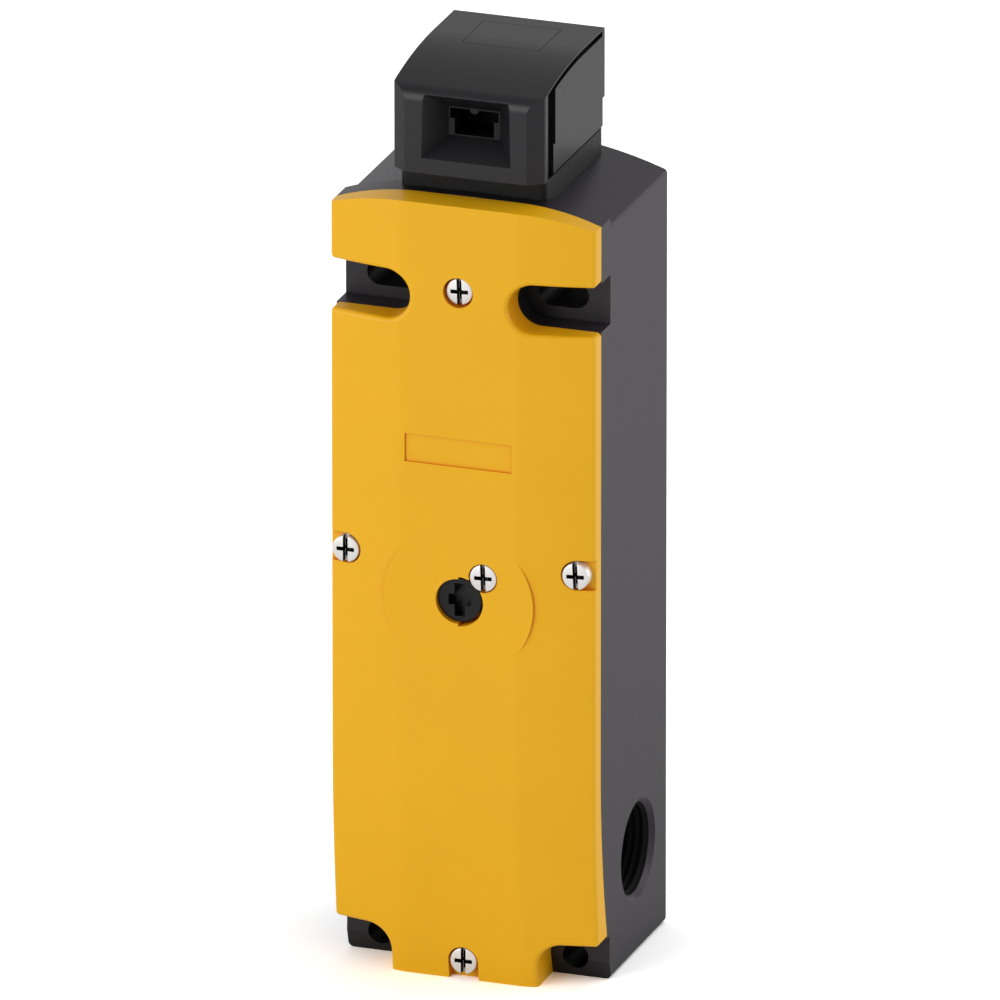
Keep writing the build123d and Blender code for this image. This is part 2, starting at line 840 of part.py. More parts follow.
def make_head_body():
    half, rear, front = core_sizes()
    skirt_half = head_half_width - hood_step
    skirt_z = head_floor_z + hood_skirt_rise
    core = core_block(head_top - hood_wall) & block(-half, half, rear, front, head_floor_z, head_top)
    core += block(-skirt_half, skirt_half, head_rear_depth, front, head_floor_z, skirt_z) - side_grooves()
    core += rod_z(0, head_axis_depth, hub_radius, hub_bottom, head_floor_z + overrun)
    pocket_radius = rotor_rim_radius + rotor_rim_play
    pocket_half = rotor_half_width + rotor_side_play
    core -= rod_x(head_axis_depth, rotor_axis_z, pocket_radius, -pocket_half, pocket_half)
    core -= block(
        -pocket_half,
        pocket_half,
        head_axis_depth - pocket_radius,
        head_axis_depth + pocket_radius,
        rotor_axis_z,
        head_top,
    )
    plate_pocket = slot_plate_face(slot_plate_play)
    core -= slab(plate_pocket, hood_face_depth - slot_plate_thickness, hood_face_depth + overrun)
    throat = rectangle(-throat_half, throat_half, throat_low, throat_high)
    core -= slab(throat, head_axis_depth + throat_end_reach, front)
    core -= rod_x(head_axis_depth, rotor_axis_z, axle_radius, -half, half)
    core -= rod_z(0, head_axis_depth, sleeve_radius + sleeve_guide_play, hub_bottom - overrun, rotor_axis_z)
    ring_low = spigot_bottom - head_turn_gap - ring_thickness
    grooves = rod_z(0, head_axis_depth, hub_radius + overrun, ring_low, ring_low + ring_thickness)
    grooves -= rod_z(0, head_axis_depth, hub_radius - ring_groove_depth, ring_low, ring_low + ring_thickness)
    seal_low = seal_ring_z - seal_ring_radius - seal_groove_play
    seal_high = seal_ring_z + seal_ring_radius + seal_groove_play
    seal_groove = rod_z(0, head_axis_depth, hub_radius + overrun, seal_low, seal_high)
    seal_floor = hub_radius - 2 * seal_ring_radius
    seal_groove -= rod_z(0, head_axis_depth, seal_floor, seal_low, seal_high)
    return core - grooves - seal_groove


def make_retaining_ring():
    low = spigot_bottom - head_turn_gap - ring_thickness
    inner = hub_radius - ring_groove_depth
    ring = rod_z(0, head_axis_depth, ring_radius, low, low + ring_thickness)
    ring -= rod_z(0, head_axis_depth, inner, low - overrun, low + ring_thickness + overrun)
    high = low + ring_thickness
    front = head_axis_depth + ring_radius + overrun
    return ring - block(-ring_gap / 2, ring_gap / 2, head_axis_depth, front, low, high)


def make_seal_ring():
    centre_radius = hub_radius - seal_ring_radius
    return Pos(0, y_at(head_axis_depth), seal_ring_z) * Torus(centre_radius, seal_ring_radius)


def make_axle():
    half = head_half_width - hood_wall
    return rod_x(head_axis_depth, rotor_axis_z, axle_radius, -half, half)


def rotor_pitch(angle):
    # Distance of the follower's centre from the axle: it grows evenly over the working turn.
    share = min(max(angle / rotor_turn, 0.0), 1.0)
    return rotor_rest_radius + travel * share + prong_radius


def cam_point(angle, radius):
    turn = math.radians(angle)
    return (radius * math.sin(turn), -radius * math.cos(turn))


def rotor_face():
    # The rim, cut away from the front mouth round to the end of the spiral that the prongs follow.
    rim = Circle(rotor_rim_radius)
    last = rotor_turn + relief_overrun
    angles = [relief_start + (last - relief_start) * i / relief_steps for i in range(relief_steps + 1)]
    path = [cam_point(a, rotor_pitch(a) - prong_radius) for a in angles]
    near = rotor_rim_radius + relief_reach
    far = near + relief_reach
    edges = Spline(*path)
    edges += Polyline(
        path[-1],
        cam_point(last, near),
        cam_point(last / 2, far),
        cam_point(0, far),
        cam_point(relief_start, far),
        cam_point(relief_start, near),
        path[0],
    )
    relief = make_face(edges)
    mouth_low = head_floor_z + slot_lower_rise - rotor_axis_z - mouth_margin
    mouth_high = mouth_low + slot_lower_height + slot_upper_height + 2 * mouth_margin
    mouth_end = -rotor_rim_radius + mouth_depth
    mouth = rectangle(-rotor_rim_radius - overrun, mouth_end, mouth_low, mouth_high)
    return rim - relief - mouth


def make_rotor():
    plane = Plane.YZ.offset(-rotor_half_width)
    place = Pos(y_at(head_axis_depth), rotor_axis_z)
    wheel = extrude(plane * (place * rotor_face()), amount=2 * rotor_half_width)
    for angle in (0.0, rotor_turn):
        drill = Cylinder(lock_hole_radius, rotor_rim_radius)
        drill = Pos(0, 0, -lock_hole_floor - rotor_rim_radius / 2) * drill
        wheel -= Pos(0, y_at(head_axis_depth), rotor_axis_z) * Rot(angle, 0, 0) * drill
    bore = axle_radius + axle_play
    end = rotor_half_width + overrun
    return wheel - rod_x(head_axis_depth, rotor_axis_z, bore, -end, end)


def make_fork():
    # Turns with the head: two rounded prongs follow the rotor, a flat round end presses the sleeve below.
    tip_centre = rotor_axis_z - rotor_rest_radius - prong_gap - prong_radius
    shoulder = tip_centre + prong_radius - prong_length
    tube = rod_z(0, head_axis_depth, sleeve_radius, fork_bottom, shoulder)
    prong = rod_x(head_axis_depth, tip_centre, prong_radius, prong_inner, prong_outer)
    front = head_axis_depth - prong_radius
    prong += block(prong_inner, prong_outer, front, front + 2 * prong_radius, shoulder - overrun, tip_centre)
    tube += both_sides(prong)
    return tube - rod_z(0, head_axis_depth, sleeve_bore_radius, fork_bottom - overrun, rotor_axis_z)


def make_sleeve():
    tube = rod_z(0, head_axis_depth, sleeve_radius, arm_bottom, fork_bottom - head_turn_gap)
    reach = slider_inner_x + slider_width
    rear = head_axis_depth - arm_half_depth
    tube += block(0, reach, rear, rear + 2 * arm_half_depth, arm_bottom, arm_top)
    return tube - rod_z(0, head_axis_depth, sleeve_bore_radius, arm_bottom - overrun, rotor_axis_z)


def make_slider():
    rear = head_axis_depth - arm_half_depth
    front = rear + 2 * arm_half_depth
    outer = slider_inner_x + slider_width
    bar = block(slider_inner_x, outer, rear, front, slider_foot_bottom, arm_bottom)
    foot_x = block_centre_x - plunger_radius
    return bar + block(foot_x, outer, rear, front, slider_foot_bottom, slider_foot_top)


def make_plunger(x, top):
    return rod_z(x, head_axis_depth, plunger_radius, plunger_end, top)


def make_bridge(x):
    low = bridge_z - bridge_thickness / 2
    bar = block(
        x - bridge_half_width,
        x + bridge_half_width,
        head_axis_depth - bridge_half_depth - bridge_overhang,
        head_axis_depth + bridge_half_depth + bridge_overhang,
        low,
        low + bridge_thickness,
    )
    return bar - rod_z(x, head_axis_depth, plunger_radius, low - overrun, low + 2 * overrun)


def make_spring(radius, wire, turns, low, high):
    # Round wire with plain ends; the coil fills the space between its two seats.
    pitch = (high - low - wire) / turns
    route = Helix(pitch, high - low - wire, radius)
    start = route @ 0
    section = Plane(start, z_dir=route % 0) * Circle(wire / 2)
    coil = sweep(section, path=route)
    return Pos(0, y_at(head_axis_depth), low + wire / 2) * coil


def make_push_spring():
    return make_spring(push_spring_radius, push_spring_wire, push_spring_turns, yoke_top, arm_bottom)


def make_lock_spring():
    return make_spring(lock_spring_radius, lock_spring_wire, lock_spring_turns, collar_top, yoke_bottom)


def make_lock_pin():
    top = rotor_axis_z - rotor_rim_radius - lock_rest_gap
    return rod_z(0, head_axis_depth, lock_pin_radius, armature_top, top)


def make_armature():
    return rod_z(0, head_axis_depth, armature_radius, armature_bottom, armature_top)


def make_lock_rod():
    return rod_z(0, head_axis_depth, rod_radius, collar_bottom, armature_bottom)


def make_collar():
    ring = rod_z(0, head_axis_depth, collar_radius, collar_bottom, collar_top)
    rear = head_axis_depth - collar_arm_half
    outer = -block_centre_x - plunger_radius
    ring += block(outer, 0, rear, rear + 2 * collar_arm_half, collar_bottom, collar_top)
    return ring - rod_z(0, head_axis_depth, rod_radius, collar_bottom - overrun, collar_top + overrun)


def make_yoke():
    outer = rectangle(-yoke_half_width, yoke_half_width, yoke_bottom, yoke_top)
    inner_half = yoke_half_width - yoke_plate
    window = rectangle(-inner_half, inner_half, yoke_bottom + yoke_plate, yoke_top - yoke_plate)
    rear = yoke_rear_depth()
    frame = slab(outer - window, rear, rear + yoke_depth_size)
    for x in yoke_screw_sides():
        for z in yoke_screw_heights():
            near = math.copysign(yoke_half_width - yoke_plate / 2, x)
            far = math.copysign(yoke_half_width + yoke_tab_length, x)
            low = z - yoke_tab_half
            tab = block(min(near, far), max(near, far), rear, rear + yoke_plate, low, low + 2 * yoke_tab_half)
            bore = block_screw_radius + block_screw_play
            frame += tab - rod_y(x, z, bore, rear - overrun, rear + yoke_plate + overrun)
    roof = yoke_top - yoke_plate
    frame -= rod_z(0, head_axis_depth, sleeve_bore_radius, roof - overrun, yoke_top + overrun)
    floor_top = yoke_bottom + yoke_plate + overrun
    return frame - rod_z(0, head_axis_depth, rod_radius + rod_play, yoke_bottom - overrun, floor_top)


def make_pole():
    high = yoke_top - yoke_plate
    pole = rod_z(0, head_axis_depth, bobbin_bore_radius, pole_bottom, high)
    return pole - rod_z(0, head_axis_depth, sleeve_bore_radius, pole_bottom - overrun, yoke_top)


def coil_ends():
    return yoke_bottom + yoke_plate, yoke_top - yoke_plate


def make_bobbin():
    low, high = coil_ends()
    spool = rod_z(0, head_axis_depth, bobbin_tube_radius, low, high)
    spool += rod_z(0, head_axis_depth, bobbin_radius, low, low + bobbin_flange)
    spool += rod_z(0, head_axis_depth, bobbin_radius, high - bobbin_flange, high)
    return spool - rod_z(0, head_axis_depth, bobbin_bore_radius, low - overrun, high + overrun)


def make_winding():
    low, high = coil_ends()
    coil = rod_z(0, head_axis_depth, winding_radius, low + bobbin_flange, high - bobbin_flange)
    return coil - rod_z(0, head_axis_depth, bobbin_tube_radius, low, high)


def make_screws_on_plate(places, face, head_radius, grip):
    screws = []
    for x, z in places:
        screws.append(slotted_screw(x, z, face, head_radius, terminal_head_height, block_screw_radius, grip))
    return screws


def make_yoke_screws():
    places = [(x, z) for x in yoke_screw_sides() for z in yoke_screw_heights()]
    rear = yoke_rear_depth() + yoke_plate
    return make_screws_on_plate(places, rear + terminal_head_height, terminal_head_radius, yoke_screw_grip)


def make_contact_block(x):
    middle_low = block_bottom + block_step_height
    middle_high = block_top - block_step_height
    left = x - block_half_width
    right = x + block_half_width
    body = block(left, right, block_back, block_front - block_step, block_bottom, block_top)
    body += block(left, right, block_back, block_front, middle_low, middle_high)
    rear_tab = block_back + block_tab_thickness
    low = block_bottom - block_tab_height
    high = block_top + block_tab_height
    body += block(x - block_tab_half, x + block_tab_half, block_back, rear_tab, low, high)
    for z in block_screw_heights():
        body -= rod_y(x, z, block_screw_radius + block_screw_play, block_back - overrun, rear_tab + overrun)
    shank_end = block_front - block_step - terminal_shank_length - terminal_tip_room
    for z in terminal_heights():
        for side in (-terminal_offset_x, terminal_offset_x):
            body -= rod_y(x + side, z, terminal_shank_radius, shank_end, block_front)
    body -= block(
        x - chamber_half_width,
        x + chamber_half_width,
        head_axis_depth - chamber_half_depth,
        head_axis_depth + chamber_half_depth,
        chamber_bottom,
        chamber_top,
    )
    bore = plunger_radius + plunger_play
    return body - rod_z(x, head_axis_depth, bore, chamber_top - overrun, block_top + overrun)


def terminal_heights():
    return (block_bottom + terminal_inset_z, block_top - terminal_inset_z)


def make_terminal_screws():
    face = block_front - block_step + terminal_head_height
    screws = []
    for x in (-block_centre_x, block_centre_x):
        for z in terminal_heights():
            for side in (-terminal_offset_x, terminal_offset_x):
                head = (terminal_head_radius, terminal_head_height)
                sizes = (*head, terminal_shank_radius, terminal_shank_length)
                screws.append(slotted_screw(x + side, z, face, *sizes))
    return screws


def make_block_screws():
    places = [(x, z) for x in (-block_centre_x, block_centre_x) for z in block_screw_heights()]
    face = block_back + block_tab_thickness + terminal_head_height
    return make_screws_on_plate(places, face, terminal_head_radius, block_screw_grip)


def make_earth_plate():
    rear = rear_wall + earth_boss_length
    low = earth_z - earth_half_height
    high = earth_z + earth_half_height
    plate = block(-earth_half_width, earth_half_width, rear, rear + earth_plate, low, high)
    bore = block_screw_radius + block_screw_play
    return plate - rod_y(0, earth_z, bore, rear - overrun, rear + earth_plate + overrun)


def make_earth_screw():
    face = rear_wall + earth_boss_length + earth_plate + terminal_head_height
    sizes = (earth_screw_radius, terminal_head_height, block_screw_radius, earth_screw_grip)
    return slotted_screw(0, earth_z, face, *sizes)


def make_release_disc():
    face = overall_depth - release_disc_sink
    under = face - release_disc_thickness
    disc = rod_y(0, release_z, release_disc_radius, under, face)
    disc += rod_y(0, release_z, release_shaft_radius, release_shaft_end, under)
    key = Rectangle(release_key_width, release_key_height)
    key += Rectangle(release_key_bar_length, release_key_bar_width)
    disc -= slab(Pos(0, release_z) * key, face - release_key_depth, face + overrun)
    low = seal_depth() - release_groove_width / 2
    high = low + release_groove_width
    groove = rod_y(0, release_z, release_shaft_radius + overrun, low, high)
    groove -= rod_y(0, release_z, release_shaft_radius - 2 * release_seal_radius, low, high)
    return disc - groove


def floor_of_disc():
    return overall_depth - release_disc_sink - release_disc_thickness


def seal_depth():
    return (release_boss_end + floor_of_disc() - release_floor_play) / 2


def make_release_seal():
    ring = Torus(release_shaft_radius - release_seal_radius, release_seal_radius)
    return Pos(0, y_at(seal_depth()), release_z) * Rot(90, 0, 0) * ring


def make_release_cam():
    hub = Pos(0, release_z) * Circle(release_cam_radius)
    lobe = Pos(0, release_z + release_cam_throw) * Circle(release_cam_radius - release_lobe_trim)
    return slab(hub + lobe, release_cam_depth, release_shaft_end)


def make_parts():
    parts = {
        "housing": make_housing(),
        "front_cover": make_cover(),
        "cover_gasket": gasket_band(0),
        "cover_screws": make_cover_screws(),
        "sealing_screw": make_sealing_screw(),
        "head_base": make_head_base(),
        "head_body": make_head_body(),
        "head_hood": make_head_hood(),
        "head_top_cap": cap_form(0),
        "tongue_slot_plate": make_slot_plate(),
        "head_seal": make_seal_ring(),
        "head_retaining_ring": make_retaining_ring(),
        "rotor_axle": make_axle(),
        "rotor_wheel": make_rotor(),
        "push_fork": make_fork(),
        "push_sleeve": make_sleeve(),
        "transfer_slider": make_slider(),
        "guard_plunger": make_plunger(block_centre_x, slider_foot_bottom),
        "guard_contact_bridge": make_bridge(block_centre_x),
        "push_spring": make_push_spring(),
        "lock_pin": make_lock_pin(),
        "armature": make_armature(),
        "lock_rod": make_lock_rod(),
        "lock_collar": make_collar(),
        "lock_plunger": make_plunger(-block_centre_x, collar_bottom),
        "lock_contact_bridge": make_bridge(-block_centre_x),
        "lock_spring": make_lock_spring(),
        "solenoid_yoke": make_yoke(),
        "pole_core": make_pole(),
        "coil_bobbin": make_bobbin(),
        "coil_winding": make_winding(),
        "yoke_screws": make_yoke_screws(),
        "guard_contact_block": make_contact_block(block_centre_x),
        "lock_contact_block": make_contact_block(-block_centre_x),
        "terminal_screws": make_terminal_screws(),
        "block_screws": make_block_screws(),
        "earth_plate": make_earth_plate(),
        "earth_screw": make_earth_screw(),
        "release_disc": make_release_disc(),
        "release_seal": make_release_seal(),
        "release_cam": make_release_cam(),
    }
    return parts


os.makedirs("parts", exist_ok=True)
for name, shape in make_parts().items():
    if isinstance(shape, list):
        shape = Compound(children=shape)
    export_step(shape, f"parts/{name}.step")
    print(name, len(shape.solids()), "solid", round(shape.volume, 1), "mm3")
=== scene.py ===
# %% [markdown]
# A tongue interlock switch stands on a machine guard: a key-shaped tongue on the door goes into its head,
# and a solenoid inside can hold it there. The construction arrives as a fixed frame of solids. Here each
# of them gets the finish of the real piece, and the small pieces that a designer leaves to the looks are
# modelled: screws with their recesses, the threads of the cable entries and the springs inside.

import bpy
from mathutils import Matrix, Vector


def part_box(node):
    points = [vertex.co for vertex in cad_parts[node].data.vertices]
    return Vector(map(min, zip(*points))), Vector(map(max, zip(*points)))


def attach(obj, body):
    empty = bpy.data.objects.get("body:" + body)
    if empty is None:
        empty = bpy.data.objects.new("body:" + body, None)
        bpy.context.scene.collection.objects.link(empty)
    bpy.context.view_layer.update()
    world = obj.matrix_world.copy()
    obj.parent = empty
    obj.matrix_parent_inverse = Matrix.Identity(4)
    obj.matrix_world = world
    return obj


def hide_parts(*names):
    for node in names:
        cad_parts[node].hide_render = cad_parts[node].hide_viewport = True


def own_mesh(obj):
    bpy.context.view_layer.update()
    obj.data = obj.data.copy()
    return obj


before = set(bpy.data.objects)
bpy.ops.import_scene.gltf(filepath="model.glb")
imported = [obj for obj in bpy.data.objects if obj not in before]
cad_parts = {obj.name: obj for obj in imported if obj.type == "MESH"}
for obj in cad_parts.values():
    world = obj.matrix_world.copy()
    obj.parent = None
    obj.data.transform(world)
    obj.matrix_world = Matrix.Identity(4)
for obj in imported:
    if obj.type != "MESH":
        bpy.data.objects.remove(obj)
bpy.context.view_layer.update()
print("nodes", len(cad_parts))

# %% [markdown]
# Blender works in metres, and the drawing of a switch in millimetres. One named value keeps every size
# below readable. The planes that new pieces seat on are read from the boxes of the solids that carry
# them.

# %% Modules, unit and the places read from the solids
import bpy
import math
from mathutils import Matrix, Vector

MM = 0.001


def corners_of(node):
    return [Vector(corner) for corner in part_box(node)]


cover_low, cover_high = corners_of("front_cover")
housing_low, housing_high = corners_of("housing")
front_y = cover_low.y
half_width = cover_high.x
print("front plane at", round(front_y / MM, 2), "mm, half width", round(half_width / MM, 2), "mm")

# %% [markdown]
# A colour picked on a screen is sRGB, and the renderer counts light linearly. One function turns the hex
# value of a colour into linear numbers, so that it shows on the surface as it was picked.

# %% Turn hex colours to linear light
def linear(hex_colour):
    channels = [int(hex_colour[i:i + 2], 16) / 255 for i in (1, 3, 5)]
    return [c / 12.92 if c <= 0.04045 else ((c + 0.055) / 1.055) ** 2.4 for c in channels] + [1.0]


COVER_YELLOW = "#f1b40a"
print("cover yellow in linear light", [round(c, 3) for c in linear(COVER_YELLOW)])

# %% [markdown]
# A material is a small graph of nodes. One function adds a node, sets its values and joins its inputs, so
# that each material below reads as a list of what happens to the surface.

# %% Add one node with its settings and links
def add_node(tree, kind, settings=None, inputs=None):
    node = tree.nodes.new(kind)
    for name, value in (settings or {}).items():
        setattr(node, name, value)
    for name, value in (inputs or {}).items():
        if isinstance(value, bpy.types.NodeSocket):
            tree.links.new(value, node.inputs[name])
        else:
            node.inputs[name].default_value = value
    return node


def new_material(name):
    material = bpy.data.materials.new(name)
    material.use_nodes = True
    material.node_tree.nodes.clear()
    return material, material.node_tree


print("materials that came with the frame", len(bpy.data.materials))

# %% [markdown]
# The casings are moulded plastic. The mould's wall is spark eroded, which leaves a fine even grain of
# about half a millimetre, and the melt flows a little darker and lighter over some centimetres. Grain
# goes into the bump and the roughness, the flow into the colour. In narrow corners light bounces from
# plastic to plastic and takes on more of its colour each time: yellow goes towards orange, and black gets
# blacker. This is painted shade: the Ambient Occlusion node measures how open a point is, and mixes in a
# painted shade colour where it isn't. The cover measures against itself only, so that the floor under its
# foot doesn't count as a corner. Object coordinates keep every pattern at its real size.

# %% Moulded plastic
# Most of a noise lies between these two values, so a range is spread between them.
NOISE_LOW = 0.3
NOISE_HIGH = 0.7
FLOW_SIZE = 22.0 * MM
FLOW_SWING = 0.015
PAINTED_SHADE_REACH = 9.0 * MM
PAINTED_SHADE_SAMPLES = 8
SHUT = 0.35
OPEN = 0.95
GLOSS_SWING = 0.04
GRAIN_STRENGTH = 0.5


def moulded_plastic(name, colour, painted_shade_colour, roughness, grain_mm, relief_mm, ior=1.45, shade_from_own_corners=False):
    material, tree = new_material(name)
    place = add_node(tree, "ShaderNodeTexCoord").outputs["Object"]
    grain = add_node(tree, "ShaderNodeTexNoise", None,
                     {"Vector": place, "Scale": 1 / (grain_mm * MM), "Detail": 3.0}).outputs["Fac"]
    clouds = add_node(tree, "ShaderNodeTexNoise", None,
                      {"Vector": place, "Scale": 1 / FLOW_SIZE, "Detail": 2.0}).outputs["Fac"]
    value = add_node(tree, "ShaderNodeMapRange", None,
                     {"Value": clouds, "From Min": NOISE_LOW, "From Max": NOISE_HIGH,
                      "To Min": 1 - FLOW_SWING, "To Max": 1 + FLOW_SWING}).outputs["Result"]
    flow = add_node(tree, "ShaderNodeHueSaturation", None,
                    {"Color": linear(colour), "Value": value}).outputs["Color"]
    # Painted shade: the more closed a point is, the more of the painted shade colour goes into the colour.
    openness = add_node(tree, "ShaderNodeAmbientOcclusion",
                        {"samples": PAINTED_SHADE_SAMPLES, "only_local": shade_from_own_corners},
                        {"Distance": PAINTED_SHADE_REACH}).outputs["AO"]
    depth = add_node(tree, "ShaderNodeMapRange", None,
                     {"Value": openness, "From Min": SHUT, "From Max": OPEN,
                      "To Min": 1.0, "To Max": 0.0}).outputs["Result"]
    paint = add_node(tree, "ShaderNodeMix", {"data_type": "RGBA"},
                     {"Factor": depth, "A": flow, "B": linear(painted_shade_colour)}).outputs["Result"]
    gloss = add_node(tree, "ShaderNodeMapRange", None,
                     {"Value": grain, "From Min": NOISE_LOW, "From Max": NOISE_HIGH,
                      "To Min": roughness - GLOSS_SWING,
                      "To Max": roughness + GLOSS_SWING}).outputs["Result"]
    bump = add_node(tree, "ShaderNodeBump", None,
                    {"Height": grain, "Strength": GRAIN_STRENGTH,
                     "Distance": relief_mm * MM}).outputs["Normal"]
    shader = add_node(tree, "ShaderNodeBsdfPrincipled", None,
                      {"Base Color": paint, "Roughness": gloss, "Normal": bump, "IOR": ior})
    add_node(tree, "ShaderNodeOutputMaterial", None, {"Surface": shader.outputs["BSDF"]})
    return material


print("corners reach", round(PAINTED_SHADE_REACH / MM), "mm, clouds of the melt", round(FLOW_SIZE / MM), "mm")

# %% [markdown]
# The cover is a signal yellow polycarbonate blend, and the housing a glass filled polyamide in a dark
# grey with a trace of violet. The head is a blacker, glossier polyamide, the plinth and the slot plate
# are matt, and the release disc shines. The plinth and the slot plate are painted darker than the head,
# as painted shade under the head's overhang and in the tongue slot. The cut threads of the entries are
# painted near black, as the shade inside the entry bores. Inside, the natural plastic is the cream of
# undyed polyamide, and what slides is dyed red.

# %% Mix the plastics
# Each line gives the colour, the painted shade colour of its corners, the roughness, and the grain's width
# and relief in mm.
yellow_cover = moulded_plastic("moulded_yellow_thermoplastic", COVER_YELLOW, "#e07a00", 0.42, 0.5, 0.006,
                               ior=1.4, shade_from_own_corners=True)
grey_housing = moulded_plastic("moulded_dark_grey_thermoplastic", "#261f29", "#0c0b0d", 0.42, 0.5, 0.010)
black_head = moulded_plastic("moulded_black_thermoplastic", "#1b181c", "#0b0a0c", 0.36, 0.4, 0.008)
# Painted shade: the plinth and the slot plate are darker than the head, for the shadow under the head's
# overhang and in the tongue slot.
plinth_black_painted_shade = moulded_plastic("moulded_plinth_black_painted_shade", "#0d0c0e", "#060607", 0.5, 0.4, 0.010,
                               ior=1.35)
# Painted shade: the entry threads are near black, for the shade inside the entry bores.
thread_painted_shade = moulded_plastic("thread_black_painted_shade", "#09080a", "#030303", 0.8, 0.4, 0.010, ior=1.3)
black_release = moulded_plastic("moulded_glossy_black_thermoplastic", "#100f11", "#080709", 0.3, 0.4, 0.006,
                                ior=1.4)
natural_plastic = moulded_plastic("moulded_natural_thermoplastic", "#b9b4a6", "#aca697", 0.45, 0.5, 0.012)
red_plastic = moulded_plastic("moulded_red_thermoplastic", "#a3281c", "#962217", 0.42, 0.5, 0.012)
seal_rubber = moulded_plastic("moulded_nitrile_rubber", "#232223", "#1c1b1c", 0.75, 0.6, 0.02)
print("plastics", [m.name for m in bpy.data.materials if m.name.startswith("moulded")])

# %% [markdown]
# Screws are cold formed steel with a bright nickel coat: nearly white, with a soft reflection. A full
# metal shows only what it mirrors, and a flat screw head facing one way would go grey as a whole. So the
# nickel is a little over half metallic, and the rest of its light is scattered, as by a slightly clouded
# coat. Their recesses are punched, and are painted a dark steel colour as the shade inside them. Zinc
# plated, turned and drawn steel inside the switch is duller, the rotor is sintered and steam blued to
# nearly black, and the winding is enamelled copper. Fine streaks of a third of a millimetre go into bump
# and roughness, and stains of 4 mm into the colour.

# %% Coated and bare metal
STAIN_SIZE = 4.0 * MM
POLISH_SWING = 0.06
STREAK_STRENGTH = 0.4


def formed_metal(name, colour, stain_colour, roughness, grain_mm, relief_mm, metallic=1.0):
    material, tree = new_material(name)
    place = add_node(tree, "ShaderNodeTexCoord").outputs["Object"]
    streaks = add_node(tree, "ShaderNodeTexNoise", None,
                       {"Vector": place, "Scale": 1 / (grain_mm * MM), "Detail": 4.0}).outputs["Fac"]
    stain = add_node(tree, "ShaderNodeTexNoise", None,
                     {"Vector": place, "Scale": 1 / STAIN_SIZE, "Detail": 2.0}).outputs["Fac"]
    paint = add_node(tree, "ShaderNodeMix", {"data_type": "RGBA"},
                     {"Factor": stain, "A": linear(colour), "B": linear(stain_colour)}).outputs["Result"]
    gloss = add_node(tree, "ShaderNodeMapRange", None,
                     {"Value": streaks, "From Min": NOISE_LOW, "From Max": NOISE_HIGH,
                      "To Min": roughness - POLISH_SWING,
                      "To Max": roughness + POLISH_SWING}).outputs["Result"]
    bump = add_node(tree, "ShaderNodeBump", None,
                    {"Height": streaks, "Strength": STREAK_STRENGTH,
                     "Distance": relief_mm * MM}).outputs["Normal"]
    shader = add_node(tree, "ShaderNodeBsdfPrincipled", None,
                      {"Base Color": paint, "Roughness": gloss, "Normal": bump, "Metallic": metallic})
    add_node(tree, "ShaderNodeOutputMaterial", None, {"Surface": shader.outputs["BSDF"]})
    return material


# Each line gives the colour, the stain's colour, the roughness, and the streaks' width and relief in mm.
bright_nickel = formed_metal("nickel_plated_steel", "#f4f3f1", "#eae8e5", 0.34, 0.35, 0.004, metallic=0.55)
# Painted shade: the screw recesses are dark steel, for the shade inside them.
recess_painted_shade = formed_metal("steel_recess_painted_shade", "#2c2a29", "#1e1c1b", 0.6, 0.35, 0.006)
zinc_steel = formed_metal("zinc_plated_steel", "#c3c4c4", "#aeb0b3", 0.38, 0.3, 0.006)
sintered_steel = formed_metal("steam_blued_sintered_steel", "#1d1c20", "#141317", 0.55, 0.25, 0.012)
copper_wire = formed_metal("enamelled_copper_wire", "#c4733a", "#a65c2c", 0.35, 0.3, 0.01)
contact_brass = formed_metal("rolled_brass", "#d8b45e", "#c39f4e", 0.32, 0.3, 0.006)
print("metals", [m.name for m in bpy.data.materials if "steel" in m.name or "brass" in m.name])

# %% [markdown]
# Every solid of the frame now gets the finish of its real piece, inner ones too, because they show when
# the cover is lifted in another scene. The list reads by finish, as a parts list reads by material.

# %% Finish the solids
nodes_by_finish = [
    (grey_housing, ["housing"]),
    (yellow_cover, ["front_cover"]),
    (black_head, ["head_body", "head_hood", "head_top_cap"]),
    (plinth_black_painted_shade, ["head_base", "tongue_slot_plate"]),
    (black_release, ["release_disc", "release_cam"]),
    (seal_rubber, ["cover_gasket", "head_seal", "release_seal"]),
    (bright_nickel, ["cover_screws", "sealing_screw"]),
    (zinc_steel, ["head_retaining_ring", "rotor_axle", "lock_pin", "armature", "lock_rod"]),
    (zinc_steel, ["push_spring", "lock_spring", "solenoid_yoke", "pole_core", "yoke_screws"]),
    (zinc_steel, ["terminal_screws", "block_screws", "earth_screw"]),
    (sintered_steel, ["rotor_wheel"]),
    (red_plastic, ["push_fork", "push_sleeve", "transfer_slider", "guard_plunger"]),
    (natural_plastic, ["lock_collar", "lock_plunger", "coil_bobbin"]),
    (natural_plastic, ["guard_contact_block", "lock_contact_block"]),
    (contact_brass, ["guard_contact_bridge", "lock_contact_bridge", "earth_plate"]),
    (copper_wire, ["coil_winding"]),
]
finished_nodes = []
for finish, nodes in nodes_by_finish:
    for node in nodes:
        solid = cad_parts[node]
        solid.data.materials.clear()
        solid.data.materials.append(finish)
        finished_nodes.append(node)
print("finished", len(finished_nodes), "of", len(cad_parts), "solids")

# %% [markdown]
# Operators work on what is selected. Before a new primitive is added, everything else is deselected. A
# finished piece gets its place moved into its mesh, its normals turned outwards and its round faces
# shaded smooth, and it rides on the body that carries it.

# %% Helpers for modelled pieces
MERGE_DISTANCE = 0.001 * MM
SMOOTH_ANGLE = math.radians(35)


def fresh_start():
    if bpy.context.object and bpy.context.object.mode != "OBJECT":
        bpy.ops.object.mode_set(mode="OBJECT")
    bpy.ops.object.select_all(action="DESELECT")


